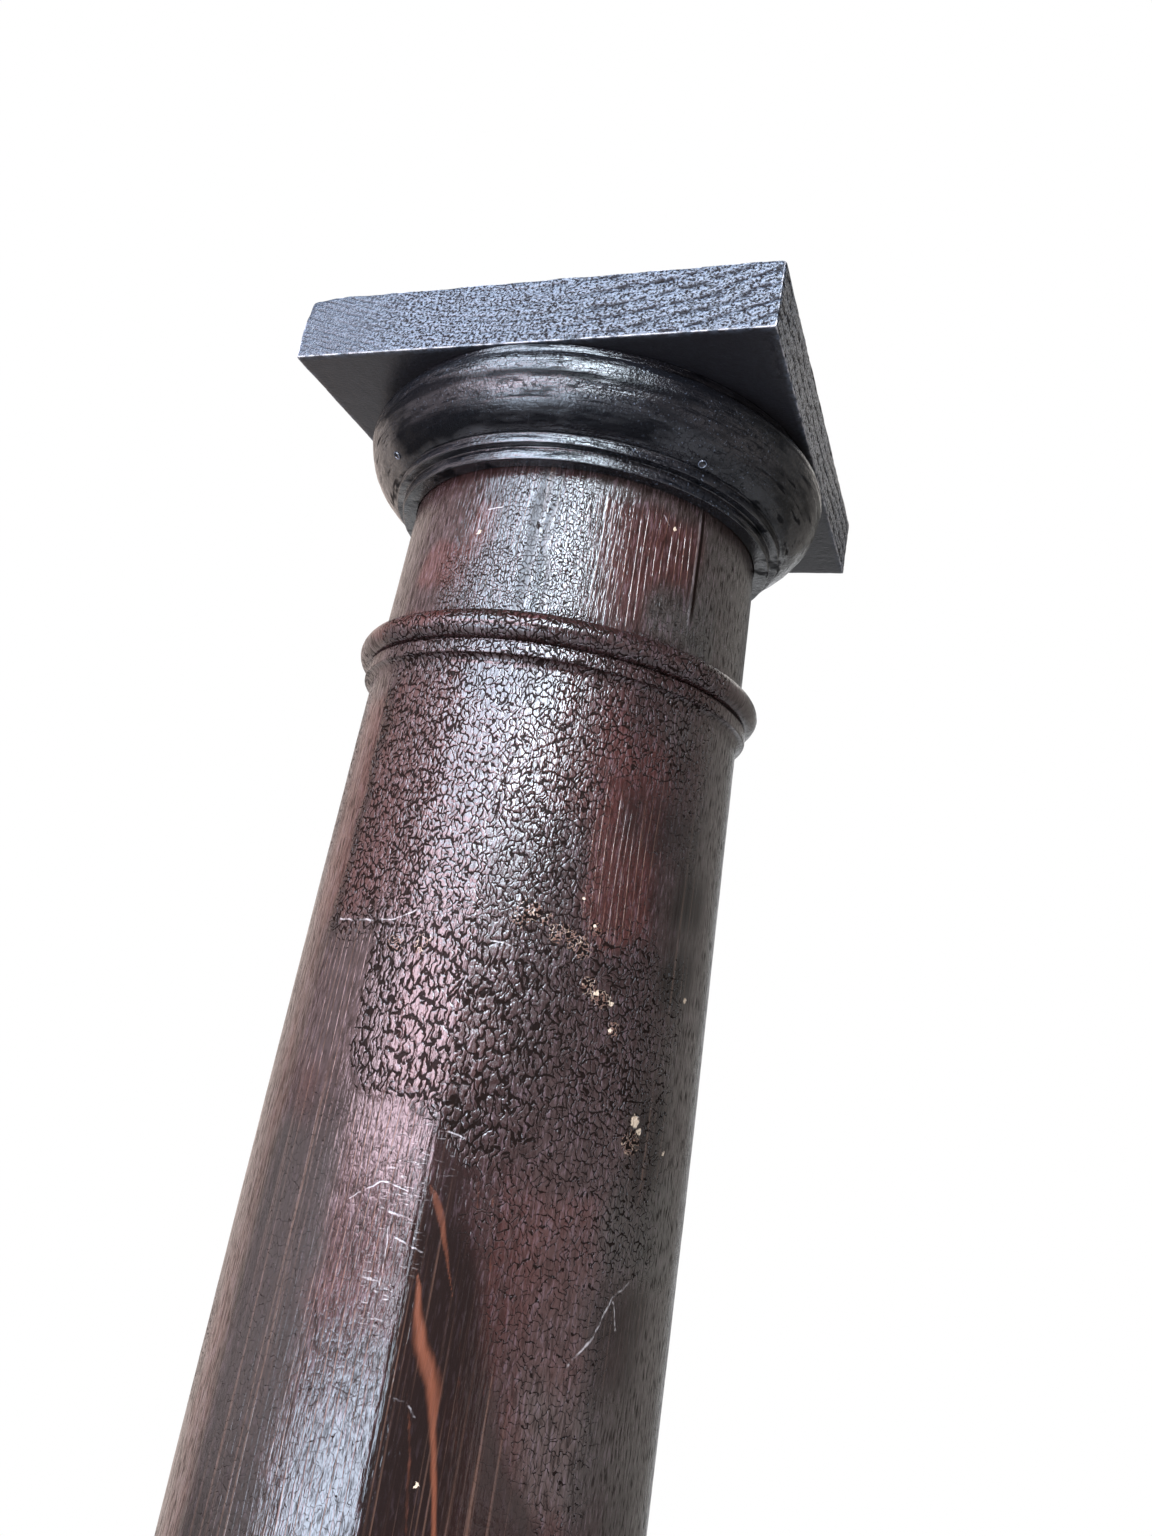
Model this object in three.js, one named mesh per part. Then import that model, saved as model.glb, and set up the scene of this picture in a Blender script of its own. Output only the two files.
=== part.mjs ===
// A round wooden column in the Tuscan manner, standing on its own plinth.
// The shaft is coopered from eight staves and turned with its necking and astragal in one.
// A turned ring under a square top board makes the capital, and a ring on a square board the base.
// Units are millimetres, +Z is up, the origin is the middle of the plinth's underside,
// and the front of the column faces -Y.
import * as THREE from "three";
import { ConvexGeometry } from "three/addons/geometries/ConvexGeometry.js";

// Overall sizes
const HEIGHT = 1830;
const ABACUS_WIDTH = 216;
const ABACUS_THICKNESS = 30.5;
const PLINTH_WIDTH = 270;
const PLINTH_THICKNESS = 46;
const FIT_GAP = 0.3;

// The top board was nailed on a little off the axis, and one front corner is knocked off.
const ABACUS_SHIFT_X = -2;
const ABACUS_SHIFT_Y = 4.3;
const EASED_CORNER = 1;
const KNOCKED_CORNER = 4.5;

// Coopering: eight staves, with one glue line at this angle round the axis
const STAVE_COUNT = 8;
const FIRST_SEAM_DEG = -31;
const FACETS_PER_STAVE = 9;
const INNER_FLAT_AT_TOP = 50;
const INNER_FLAT_AT_FOOT = 68;

// Turned outline of the staves. A drop is a length down from the underside of the top board.
const NECK_RADIUS_AT_TOP = 80;
const NECK_RADIUS_AT_BEAD = 83.9;
const BEAD_CENTRE_DROP = 117;
const BEAD_RADIUS = 6;
const BEAD_OUTER_RADIUS = 92.5;
const GROOVE_HEIGHT = 1.2;
const FILLET_RADIUS = 88.3;
const FILLET_HEIGHT = 5.2;
const COVE_HEIGHT = 3.4;
const SHAFT_TOP_RADIUS = 84.9;

// Entasis: the taper is this steep at the top of the shaft and dies away over this length.
const TAPER_AT_TOP = 0.0305;
const TAPER_LENGTH = 1200;

// Capital ring: an ovolo with a rounded rim under a narrow quirk, over two small fillets
const OVOLO_RADIUS = 25.2;
const OVOLO_OUTER_RADIUS = 109.1;
const OVOLO_CENTRE_DROP = 11;
const OVOLO_FOOT_DROP = 34.4;
const RIM_RADIUS = 6;
const UPPER_FILLET_RADIUS = 92.4;
const UPPER_FILLET_FOOT_DROP = 38.6;
const LOWER_FILLET_RADIUS = 88.4;
const RING_HEIGHT = 44;

// Base ring: a plain half-round torus under one fillet
const TORUS_RADIUS = 19;
const TORUS_OUTER_RADIUS = 130;
const BASE_FILLET_RADIUS = 112;
const BASE_FILLET_HEIGHT = 8;

// Finishes of the dark varnish
const RED_BROWN = 0x4a2a24;
const DARK_BROWN = 0x33261f;
const NEAR_BLACK = 0x2b2220;
const GREY_BLACK = 0x2a2827;

const ABACUS_UNDERSIDE = HEIGHT - ABACUS_THICKNESS;
const FOOT = PLINTH_THICKNESS;
const STAVE_ANGLE = (2 * Math.PI) / STAVE_COUNT;
const FIRST_SEAM = THREE.MathUtils.degToRad(FIRST_SEAM_DEG);
const BEAD_CENTRE = ABACUS_UNDERSIDE - BEAD_CENTRE_DROP;
const BEAD_UNDERSIDE = BEAD_CENTRE - BEAD_RADIUS;
const FILLET_TOP = BEAD_UNDERSIDE - GROOVE_HEIGHT;
const SHAFT_TOP = FILLET_TOP - FILLET_HEIGHT - COVE_HEIGHT;
const TAPER_START = SHAFT_TOP - TAPER_LENGTH;

// Points of an arc in the outline plane, x the radius and y the height, ends included.
function arc(centreRadius, centreHeight, radius, fromDeg, toDeg, steps) {
  return Array.from({ length: steps + 1 }, (_, i) => {
    const angle = THREE.MathUtils.degToRad(fromDeg + ((toDeg - fromDeg) * i) / steps);
    return new THREE.Vector2(
      centreRadius + radius * Math.cos(angle),
      centreHeight + radius * Math.sin(angle),
    );
  });
}

// The shaft's radius at a height: straight at the foot, then a parabola up to the astragal.
function shaftRadius(height) {
  const run = Math.min(Math.max(SHAFT_TOP - height, 0), TAPER_LENGTH);
  return SHAFT_TOP_RADIUS + TAPER_AT_TOP * (run - (run * run) / (2 * TAPER_LENGTH));
}

function neckRadius(height) {
  const share = (ABACUS_UNDERSIDE - height) / (BEAD_CENTRE_DROP - BEAD_RADIUS);
  return THREE.MathUtils.lerp(NECK_RADIUS_AT_TOP, NECK_RADIUS_AT_BEAD, share);
}

// The staves' turned outline from the foot up to the underside of the top board.
function staveOutline() {
  const outline = [new THREE.Vector2(shaftRadius(FOOT), FOOT)];
  const taperSteps = 6;
  for (let i = 0; i <= taperSteps; i++) {
    const height = THREE.MathUtils.lerp(TAPER_START, SHAFT_TOP, i / taperSteps);
    outline.push(new THREE.Vector2(shaftRadius(height), height));
  }
  const coveReach = FILLET_RADIUS - SHAFT_TOP_RADIUS;
  for (const turn of [30, 60, 90]) {
    const angle = THREE.MathUtils.degToRad(turn);
    const radius = SHAFT_TOP_RADIUS + coveReach * (1 - Math.cos(angle));
    outline.push(new THREE.Vector2(radius, SHAFT_TOP + COVE_HEIGHT * Math.sin(angle)));
  }
  const beadCentreRadius = BEAD_OUTER_RADIUS - BEAD_RADIUS;
  outline.push(new THREE.Vector2(FILLET_RADIUS, FILLET_TOP));
  outline.push(new THREE.Vector2(beadCentreRadius, FILLET_TOP));
  outline.push(...arc(beadCentreRadius, BEAD_CENTRE, BEAD_RADIUS, -90, 90, 8));
  outline.push(new THREE.Vector2(NECK_RADIUS_AT_BEAD, BEAD_CENTRE + BEAD_RADIUS));
  outline.push(new THREE.Vector2(neckRadius(ABACUS_UNDERSIDE), ABACUS_UNDERSIDE));
  return outline;
}

// A closed mesh geometry through equal rings of points, one ring above the other.
// Each ring is convex and runs anticlockwise seen from above.
function loft(rings) {
  const count = rings[0].length;
  const positions = rings.flat().flatMap((point) => point.toArray());
  const indices = [];
  for (let level = 0; level < rings.length - 1; level++) {
    for (let i = 0; i < count; i++) {
      const below = level * count + i;
      const belowNext = level * count + ((i + 1) % count);
      indices.push(below, belowNext, belowNext + count);
      indices.push(below, belowNext + count, below + count);
    }
  }
  const lid = (rings.length - 1) * count;
  for (let i = 1; i < count - 1; i++) {
    indices.push(0, i + 1, i);
    indices.push(lid, lid + i, lid + i + 1);
  }
  const geometry = new THREE.BufferGeometry();
  geometry.setAttribute("position", new THREE.Float32BufferAttribute(positions, 3));
  geometry.setIndex(indices);
  return geometry.toNonIndexed();
}

// One stave: turned outside, a flat board face inside, and two planed joint faces.
function staveGeometry(outline, seamAngle) {
  const middle = seamAngle + STAVE_ANGLE / 2;
  const endAngle = seamAngle + STAVE_ANGLE;
  const halfGap = FIT_GAP / 2;
  const intoStart = new THREE.Vector3(-Math.sin(seamAngle), Math.cos(seamAngle), 0);
  const intoEnd = new THREE.Vector3(Math.sin(endAngle), -Math.cos(endAngle), 0);
  const rings = outline.map(({ x: radius, y: height }) => {
    const ring = [];
    for (let i = 0; i <= FACETS_PER_STAVE; i++) {
      const angle = seamAngle + (STAVE_ANGLE * i) / FACETS_PER_STAVE;
      ring.push(new THREE.Vector3(radius * Math.cos(angle), radius * Math.sin(angle), height));
    }
    ring[0].addScaledVector(intoStart, halfGap);
    ring[FACETS_PER_STAVE].addScaledVector(intoEnd, halfGap);

    const rise = (height - FOOT) / (ABACUS_UNDERSIDE - FOOT);
    const innerFlat = THREE.MathUtils.lerp(INNER_FLAT_AT_FOOT, INNER_FLAT_AT_TOP, rise);
    const halfFlat = innerFlat * Math.tan(STAVE_ANGLE / 2) - halfGap / Math.cos(STAVE_ANGLE / 2);
    for (const side of [1, -1]) {
      ring.push(
        new THREE.Vector3(
          innerFlat * Math.cos(middle) - side * halfFlat * Math.sin(middle),
          innerFlat * Math.sin(middle) + side * halfFlat * Math.cos(middle),
          height,
        ),
      );
    }
    return ring;
  });
  return loft(rings);
}

// A ring turned about the column's axis from a closed outline that runs anticlockwise.
function turnedRing(name, outline, material) {
  const closed = [...outline, outline[0]];
  const facets = STAVE_COUNT * FACETS_PER_STAVE;
  const geometry = new THREE.LatheGeometry(closed, facets, FIRST_SEAM + Math.PI / 2);
  const ring = new THREE.Mesh(geometry, material);
  ring.name = name;
  ring.rotation.x = Math.PI / 2;
  return ring;
}

function capitalRing(material) {
  const top = ABACUS_UNDERSIDE;
  const bottom = top - RING_HEIGHT;
  const centre = top - OVOLO_CENTRE_DROP;
  const ovoloDepth = OVOLO_FOOT_DROP - OVOLO_CENTRE_DROP;
  const footTurn = THREE.MathUtils.radToDeg(Math.asin(ovoloDepth / OVOLO_RADIUS));
  const rimCentreRadius = OVOLO_OUTER_RADIUS - RIM_RADIUS;
  const outline = [
    new THREE.Vector2(neckRadius(bottom) + FIT_GAP, bottom),
    new THREE.Vector2(LOWER_FILLET_RADIUS, bottom),
    new THREE.Vector2(LOWER_FILLET_RADIUS, top - UPPER_FILLET_FOOT_DROP),
    new THREE.Vector2(UPPER_FILLET_RADIUS, top - UPPER_FILLET_FOOT_DROP),
    new THREE.Vector2(UPPER_FILLET_RADIUS, top - OVOLO_FOOT_DROP),
    ...arc(OVOLO_OUTER_RADIUS - OVOLO_RADIUS, centre, OVOLO_RADIUS, -footTurn, -8, 6),
    ...arc(rimCentreRadius, centre, RIM_RADIUS, 0, 90, 5),
    new THREE.Vector2(rimCentreRadius, top),
    new THREE.Vector2(neckRadius(top) + FIT_GAP, top),
  ];
  return turnedRing("capital_ring", outline, material);
}

function baseRing(material) {
  const torusCentreRadius = TORUS_OUTER_RADIUS - TORUS_RADIUS;
  const torusTop = FOOT + 2 * TORUS_RADIUS;
  const top = torusTop + BASE_FILLET_HEIGHT;
  const bore = shaftRadius(FOOT) + FIT_GAP;
  const outline = [
    new THREE.Vector2(bore, FOOT),
    ...arc(torusCentreRadius, FOOT + TORUS_RADIUS, TORUS_RADIUS, -90, 88, 11),
    new THREE.Vector2(BASE_FILLET_RADIUS, top),
    new THREE.Vector2(bore, top),
  ];
  return turnedRing("base_ring", outline, material);
}

// A square board whose corners are eased by a little, or by more where one is knocked off.
function squareBoard(name, width, thickness, material, knocked = () => false) {
  const half = new THREE.Vector3(width / 2, width / 2, thickness / 2);
  const points = [];
  for (const x of [-1, 1]) {
    for (const y of [-1, 1]) {
      for (const z of [-1, 1]) {
        const corner = new THREE.Vector3(x, y, z);
        const ease = knocked(x, y, z) ? KNOCKED_CORNER : EASED_CORNER;
        for (const axis of ["x", "y", "z"]) {
          const point = corner.clone().multiply(half);
          point[axis] -= corner[axis] * ease;
          points.push(point);
        }
      }
    }
  }
  const board = new THREE.Mesh(new ConvexGeometry(points), material);
  board.name = name;
  return board;
}

function varnishedWood(colour, roughness) {
  return new THREE.MeshStandardMaterial({ color: colour, roughness, metalness: 0 });
}

const column = new THREE.Group();
column.name = "round_wooden_column";

const outline = staveOutline();
for (let i = 0; i < STAVE_COUNT; i++) {
  const geometry = staveGeometry(outline, FIRST_SEAM + i * STAVE_ANGLE);
  const stave = new THREE.Mesh(geometry, varnishedWood(RED_BROWN, 0.4));
  stave.name = `stave_${i + 1}`;
  column.add(stave);
}

column.add(capitalRing(varnishedWood(NEAR_BLACK, 0.35)));
column.add(baseRing(varnishedWood(DARK_BROWN, 0.4)));

// The front left top corner of the abacus is the one that is knocked off.
const abacus = squareBoard(
  "abacus",
  ABACUS_WIDTH,
  ABACUS_THICKNESS,
  varnishedWood(GREY_BLACK, 0.5),
  (x, y, z) => x < 0 && y < 0 && z > 0,
);
abacus.position.set(ABACUS_SHIFT_X, ABACUS_SHIFT_Y, HEIGHT - ABACUS_THICKNESS / 2);
column.add(abacus);

const plinth = squareBoard("plinth", PLINTH_WIDTH, PLINTH_THICKNESS, varnishedWood(DARK_BROWN, 0.5));
plinth.position.set(0, 0, PLINTH_THICKNESS / 2);
column.add(plinth);

export default column;
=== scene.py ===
from itertools import product
from math import asin, cos, degrees, pi, radians, sin

import bpy
import numpy as np
from bpy.props import FloatProperty, FloatVectorProperty, PointerProperty
from mathutils import Matrix, Vector


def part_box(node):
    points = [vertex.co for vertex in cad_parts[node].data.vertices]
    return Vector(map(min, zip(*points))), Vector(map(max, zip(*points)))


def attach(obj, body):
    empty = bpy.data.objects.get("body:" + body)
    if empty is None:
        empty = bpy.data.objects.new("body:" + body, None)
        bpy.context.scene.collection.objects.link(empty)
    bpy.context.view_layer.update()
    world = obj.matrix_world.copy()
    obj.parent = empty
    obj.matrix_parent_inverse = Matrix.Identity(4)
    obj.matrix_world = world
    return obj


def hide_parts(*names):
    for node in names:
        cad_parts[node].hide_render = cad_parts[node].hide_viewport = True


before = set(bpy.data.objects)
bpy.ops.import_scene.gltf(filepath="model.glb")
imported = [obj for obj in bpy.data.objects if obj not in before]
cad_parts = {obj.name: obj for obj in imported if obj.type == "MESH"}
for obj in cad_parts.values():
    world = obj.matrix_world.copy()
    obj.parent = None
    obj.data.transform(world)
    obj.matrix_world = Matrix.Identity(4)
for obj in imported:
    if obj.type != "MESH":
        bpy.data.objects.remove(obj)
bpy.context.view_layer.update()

bl_info = {
    "name": "Round Wooden Column",
    "version": (1, 0, 0),
    "blender": (4, 5, 0),
    "location": "View3D > Sidebar > Column",
    "description": "Builds an old varnished column of glued staves with its capital and base",
    "category": "Object",
}

# Sizes of the turned work, in metres. A drop is measured down from the underside of the top board.
MM = 0.001
ABACUS_LOW, ABACUS_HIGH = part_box("abacus")
PLINTH_LOW, PLINTH_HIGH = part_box("plinth")
UNDER_BOARD = ABACUS_LOW.z
FOOT_DROP = UNDER_BOARD - PLINTH_HIGH.z
STAVE_COUNT = 8
STAVE_ANGLE = 2 * pi / STAVE_COUNT
FIRST_SEAM = radians(-31)
INNER_FLAT_TOP, INNER_FLAT_FOOT = 50 * MM, 68 * MM
NECK_TOP, NECK_FOOT = 80 * MM, 83.9 * MM
BEAD_DROP, BEAD_RADIUS, BEAD_REACH = 117 * MM, 6 * MM, 92.5 * MM
GROOVE_HEIGHT = 1.2 * MM
FILLET_REACH, FILLET_HEIGHT = 88.3 * MM, 5.2 * MM
COVE_HEIGHT = 3.4 * MM
SHAFT_TOP_RADIUS = 84.9 * MM
TAPER_AT_TOP, TAPER_LENGTH = 0.0305, 1.2
OVOLO_RADIUS, OVOLO_REACH = 25.2 * MM, 109.1 * MM
OVOLO_DROP, OVOLO_FOOT = 11 * MM, 34.4 * MM
RIM_RADIUS = 6 * MM
UPPER_FILLET, UPPER_FILLET_FOOT = 92.4 * MM, 38.6 * MM
LOWER_FILLET, RING_HEIGHT = 88.4 * MM, 44 * MM
TORUS_RADIUS, TORUS_REACH = 19 * MM, 130 * MM
BASE_FILLET, BASE_FILLET_HEIGHT = 112 * MM, 8 * MM
BEAD_TOP = BEAD_DROP - BEAD_RADIUS
BEAD_FOOT = BEAD_DROP + BEAD_RADIUS
FILLET_TOP = BEAD_FOOT + GROOVE_HEIGHT
FILLET_FOOT = FILLET_TOP + FILLET_HEIGHT
SHAFT_TOP = FILLET_FOOT + COVE_HEIGHT
SKIN_RADIUS = 90 * MM

# The direction the photograph was taken from, the stretch of the column that it shows, and the foot of the
# part that is crazed, both as drops
VIEWED_FROM = radians(-66.6)
SEEN_TOP, SEEN_FOOT = RING_HEIGHT - 2 * MM, 480 * MM
CRAZED_FOOT = 330 * MM


# Node trees as Python expressions


def math_method(operation, swapped=False):
    """A method for Wire that adds a Math node on the wire and the other values."""

    def method(self, *others):
        values = (self, *others)
        return self.graph.maths(operation, *(reversed(values) if swapped else values))

    return method


class Wire:
    """One output socket of a node tree. Arithmetic on it adds Math nodes."""

    def __init__(self, graph, socket):
        self.graph = graph
        self.socket = socket

    __add__ = __radd__ = math_method("ADD")
    __sub__ = math_method("SUBTRACT")
    __rsub__ = math_method("SUBTRACT", swapped=True)
    __mul__ = __rmul__ = math_method("MULTIPLY")
    __truediv__ = math_method("DIVIDE")
    __abs__ = math_method("ABSOLUTE")
    at_most = math_method("MINIMUM")
    at_least = math_method("MAXIMUM")
    fraction = math_method("FRACT")

    def step(self, low, high):
        """0 at low, 1 at high and smooth between them."""
        values = {0: self, 1: low, 2: high}
        return self.graph.node("ShaderNodeMapRange", {"interpolation_type": "SMOOTHSTEP"}, values)

    def vector(self, operation, key, other):
        return self.graph.node("ShaderNodeVectorMath", {"operation": operation}, {0: self, key: other})

    def shifted(self, other):
        """A vector moved by another one."""
        return self.vector("ADD", 1, other)

    def scaled(self, factor):
        """A vector multiplied by a number."""
        return self.vector("SCALE", "Scale", factor)

    def stretched(self, *factors):
        """A vector with its parts multiplied by a number each."""
        return self.vector("MULTIPLY", 1, factors)

    def part(self, index):
        return self.graph.node("ShaderNodeSeparateXYZ", {}, {0: self}, index)


class Graph:
    """A shader or geometry node tree that is filled by expressions."""

    def __init__(self, tree):
        self.tree = tree
        self.carves = tree.type == "GEOMETRY"

    def node(self, kind, settings=None, values=None, out=0):
        made = self.tree.nodes.new(kind)
        for name, value in (settings or {}).items():
            setattr(made, name, value)
        for key, value in (values or {}).items():
            if isinstance(value, Wire):
                self.tree.links.new(value.socket, made.inputs[key])
            else:
                made.inputs[key].default_value = value
        return Wire(self, made.outputs[out])

    def finish(self, kind, wire):
        """Links a wire to the first input of the tree's output node."""
        self.tree.links.new(wire.socket, self.tree.nodes.new(kind).inputs[0])

    def maths(self, operation, *values):
        return self.node("ShaderNodeMath", {"operation": operation}, dict(enumerate(values)))

    def colour(self, factor, first, second):
        """first where factor is 0 and second where it is 1."""
        first, second = (c if isinstance(c, Wire) else (*c, 1) for c in (first, second))
        return self.node("ShaderNodeMix", {"data_type": "RGBA"}, {0: factor, 6: first, 7: second}, 2)

    def layered(self, colour, *layers):
        """A colour with others laid over it in turn, each led by how much of it there is."""
        for amount, over in layers:
            colour = self.colour(amount, colour, over)
        return colour

    def painted(self, name, vector=False):
        """A number or a vector that was kept for each point of the piece's mesh."""
        if self.carves:
            settings = {"data_type": "FLOAT_VECTOR" if vector else "FLOAT"}
            return self.node("GeometryNodeInputNamedAttribute", settings, {"Name": name})
        return self.node("ShaderNodeAttribute", {"attribute_name": name}, out="Vector" if vector else "Fac")

    def place(self):
        """The point itself, in the column's own frame."""
        if self.carves:
            return self.node("GeometryNodeInputPosition")
        return self.node("ShaderNodeTexCoord", out="Object")

    def noise(self, where, scale, detail=2.0, roughness=0.5):
        values = {"Vector": where, "Scale": scale, "Detail": detail, "Roughness": roughness}
        return self.node("ShaderNodeTexNoise", {}, values)

    def grain(self, where, x, y, z, detail=2.0, roughness=0.5):
        """Noise with its own number of features in a metre along each axis."""
        return self.noise(where.stretched(x, y, z), 1, detail, roughness)

    def wander(self, where, scale, reach):
        """A vector that wanders round zero by up to reach each way."""
        values = {"Vector": where, "Scale": scale, "Detail": 1.0}
        cloud = self.node("ShaderNodeTexNoise", {}, values, "Color")
        return cloud.shifted((-0.5, -0.5, -0.5)).scaled(2 * reach)

    def cells(self, where, scale, randomness, dimensions="2D"):
        """How far a point is from the edge of its cell, in cell widths."""
        settings = {"feature": "DISTANCE_TO_EDGE", "voronoi_dimensions": dimensions}
        values = {"Vector": where, "Scale": scale, "Randomness": randomness}
        return self.node("ShaderNodeTexVoronoi", settings, values)


# Outlines and meshes


def shaft_radius(drop):
    run = np.clip(drop - SHAFT_TOP, 0, TAPER_LENGTH)
    return SHAFT_TOP_RADIUS + TAPER_AT_TOP * (run - run * run / (2 * TAPER_LENGTH))


def neck_radius(drop):
    return NECK_TOP + (NECK_FOOT - NECK_TOP) * drop / BEAD_TOP


def arc(radius, drop, size, start, end, steps=16):
    """Points (drop, radius) of an arc. Its angles are in degrees, 0 outwards and 90 up."""
    turns = np.radians(np.linspace(start, end, steps))
    return [(drop - size * sin(turn), radius + size * cos(turn)) for turn in turns]


def softened(outline, size):
    """The outline with every sharp corner rounded a little, as varnish leaves it."""
    points = [np.array(p) for p in outline]
    made = [points[0]]
    for before, corner, after in zip(points, points[1:], points[2:]):
        back, on = before - corner, after - corner
        turn = np.dot(back, on) / (np.linalg.norm(back) * np.linalg.norm(on))
        if turn < -0.9:
            made.append(corner)
            continue
        start = corner + back * min(0.45, size / np.linalg.norm(back))
        end = corner + on * min(0.45, size / np.linalg.norm(on))
        for t in (0, 0.25, 0.5, 0.75, 1):
            made.append((1 - t) ** 2 * start + 2 * t * (1 - t) * corner + t * t * end)
    made.append(points[-1])
    return made


def refined(outline, step_at):
    """The outline with points no further apart than step_at says for their drop."""
    made = [outline[0]]
    for start, end in zip(outline, outline[1:]):
        length = np.linalg.norm(end - start)
        pieces = max(1, int(np.ceil(length / step_at((start[0] + end[0]) / 2))))
        made += [start + (end - start) * (i + 1) / pieces for i in range(pieces)]
    return np.array(made)


def stave_outline(step_at):
    bead = BEAD_REACH - BEAD_RADIUS
    cove = FILLET_REACH - SHAFT_TOP_RADIUS
    outline = [(0, NECK_TOP), (BEAD_TOP, NECK_FOOT)]
    outline += arc(bead, BEAD_DROP, BEAD_RADIUS, 90, -90)
    outline += [(FILLET_TOP, bead), (FILLET_TOP, FILLET_REACH)]
    for turn in np.radians(np.linspace(90, 0, 7)):
        outline.append((SHAFT_TOP - COVE_HEIGHT * sin(turn), SHAFT_TOP_RADIUS + cove * (1 - cos(turn))))
    for drop in np.linspace(SHAFT_TOP, SHAFT_TOP + TAPER_LENGTH, 60)[1:]:
        outline.append((drop, float(shaft_radius(drop))))
    outline.append((FOOT_DROP, float(shaft_radius(FOOT_DROP))))
    return refined(softened(outline, 0.5 * MM), step_at)


def ring_outline(step_at):
    bore = 0.3 * MM
    foot_turn = degrees(asin((OVOLO_FOOT - OVOLO_DROP) / OVOLO_RADIUS))
    rim = OVOLO_REACH - RIM_RADIUS
    outline = [(0, neck_radius(0) + bore), (0, rim), (OVOLO_DROP - RIM_RADIUS, rim)]
    outline += arc(rim, OVOLO_DROP, RIM_RADIUS, 88, 0, 10)
    outline += arc(OVOLO_REACH - OVOLO_RADIUS, OVOLO_DROP, OVOLO_RADIUS, -4, -foot_turn, 20)
    outline += [
        (OVOLO_FOOT, UPPER_FILLET),
        (UPPER_FILLET_FOOT, UPPER_FILLET),
        (UPPER_FILLET_FOOT, LOWER_FILLET),
        (RING_HEIGHT, LOWER_FILLET),
        (RING_HEIGHT, neck_radius(RING_HEIGHT) + bore),
        (0, neck_radius(0) + bore),
    ]
    return refined(softened(outline, 0.45 * MM), step_at)


def base_outline(step_at):
    bore = float(shaft_radius(FOOT_DROP)) + 0.3 * MM
    top = FOOT_DROP - 2 * TORUS_RADIUS - BASE_FILLET_HEIGHT
    outline = [(top, bore), (top, BASE_FILLET), (FOOT_DROP - 2 * TORUS_RADIUS, BASE_FILLET)]
    outline += arc(TORUS_REACH - TORUS_RADIUS, FOOT_DROP - TORUS_RADIUS, TORUS_RADIUS, 86, -90, 30)
    outline += [(FOOT_DROP, bore), (top, bore)]
    return refined(softened(outline, 0.6 * MM), step_at)


def runs(outline):
    """How far each point of an outline is along it."""
    return np.concatenate([[0], np.cumsum(np.linalg.norm(np.diff(outline, axis=0), axis=1))])


STAVE_LINE = stave_outline(lambda drop: 2 * MM)
DROP_TO_RUN = (STAVE_LINE[:, 0], runs(STAVE_LINE))


def placed(name, data):
    """A new object in the scene."""
    made = bpy.data.objects.new(name, data)
    bpy.context.scene.collection.objects.link(made)
    return made


def mesh_piece(name, points, faces, skin=None):
    """A smooth shaded piece, with hard edges kept, and its unrolled coordinates."""
    mesh = bpy.data.meshes.new(name)
    mesh.from_pydata(points, [], faces)
    mesh.shade_smooth()
    mesh.set_sharp_from_angle(angle=radians(42))
    if skin is not None:
        layer = mesh.attributes.new("skin", "FLOAT_VECTOR", "POINT")
        layer.data.foreach_set("vector", np.asarray(skin, np.float32).ravel())
    return placed(name, mesh)


def paint(piece, name, values):
    """Keeps one number for each of the mesh's points."""
    layer = piece.data.attributes.new(name, "FLOAT", "POINT")
    layer.data.foreach_set("value", np.asarray(values, np.float32).ravel())


def quads(rows, columns, looped=False):
    """The faces of a grid whose rows close on themselves, as its columns do too where it is looped."""
    here = np.arange(rows * columns).reshape(rows, columns)
    here = np.concatenate([here, here[:, :1]], axis=1)
    if looped:
        here = np.concatenate([here, here[:1]])
    corners = (here[:-1, :-1], here[:-1, 1:], here[1:, 1:], here[1:, :-1])
    return np.stack(corners, axis=-1).reshape(-1, 4)[:, ::-1].tolist()


def turned(name, outline, columns):
    """A whole ring turned about the axis from an outline that closes on itself."""
    around = np.linspace(0, 2 * pi, columns, endpoint=False) + radians(113)
    drop, radius = outline[:-1, :1], outline[:-1, 1:]
    run = runs(outline[:-1])[:, None] + 0 * around
    height = UNDER_BOARD - drop + 0 * run
    points = np.stack([radius * np.cos(around), radius * np.sin(around), height], axis=-1)
    skin = np.stack([around * SKIN_RADIUS + 0 * run, run, 0 * run], axis=-1)
    faces = quads(*run.shape, looped=True)
    return mesh_piece(name, points.reshape(-1, 3), faces, skin.reshape(-1, 3))


def carve(piece, relief):
    """Moves the points of a piece along their normals by the relief that a function gives in metres."""
    tree = bpy.data.node_groups.new(piece.name + "_relief", "GeometryNodeTree")
    for way in ("INPUT", "OUTPUT"):
        tree.interface.new_socket("Geometry", in_out=way, socket_type="NodeSocketGeometry")
    graph = Graph(tree)
    source = graph.node("NodeGroupInput")
    offset = graph.node("GeometryNodeInputNormal").scaled(relief(graph))
    moved = graph.node("GeometryNodeSetPosition", {}, {"Geometry": source, "Offset": offset})
    graph.finish("NodeGroupOutput", moved)
    modifier = piece.modifiers.new("relief", "NODES")
    modifier.node_group = tree
    seen = piece.evaluated_get(bpy.context.evaluated_depsgraph_get())
    carved = bpy.data.meshes.new_from_object(seen)
    carved.name = piece.name
    piece.modifiers.clear()
    piece.data = carved
    bpy.data.node_groups.remove(tree)


# How worn the finish is, and where shade and reflections are painted on it


def rise(low, high, value):
    t = np.clip((value - low) / (high - low), 0, 1)
    return t * t * (3 - 2 * t)


def within(low, high, soft, value):
    """1 between two bounds and 0 outside them, with soft ends."""
    return rise(low - soft, low + soft, value) * (1 - rise(high - soft, high + soft, value))


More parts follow.
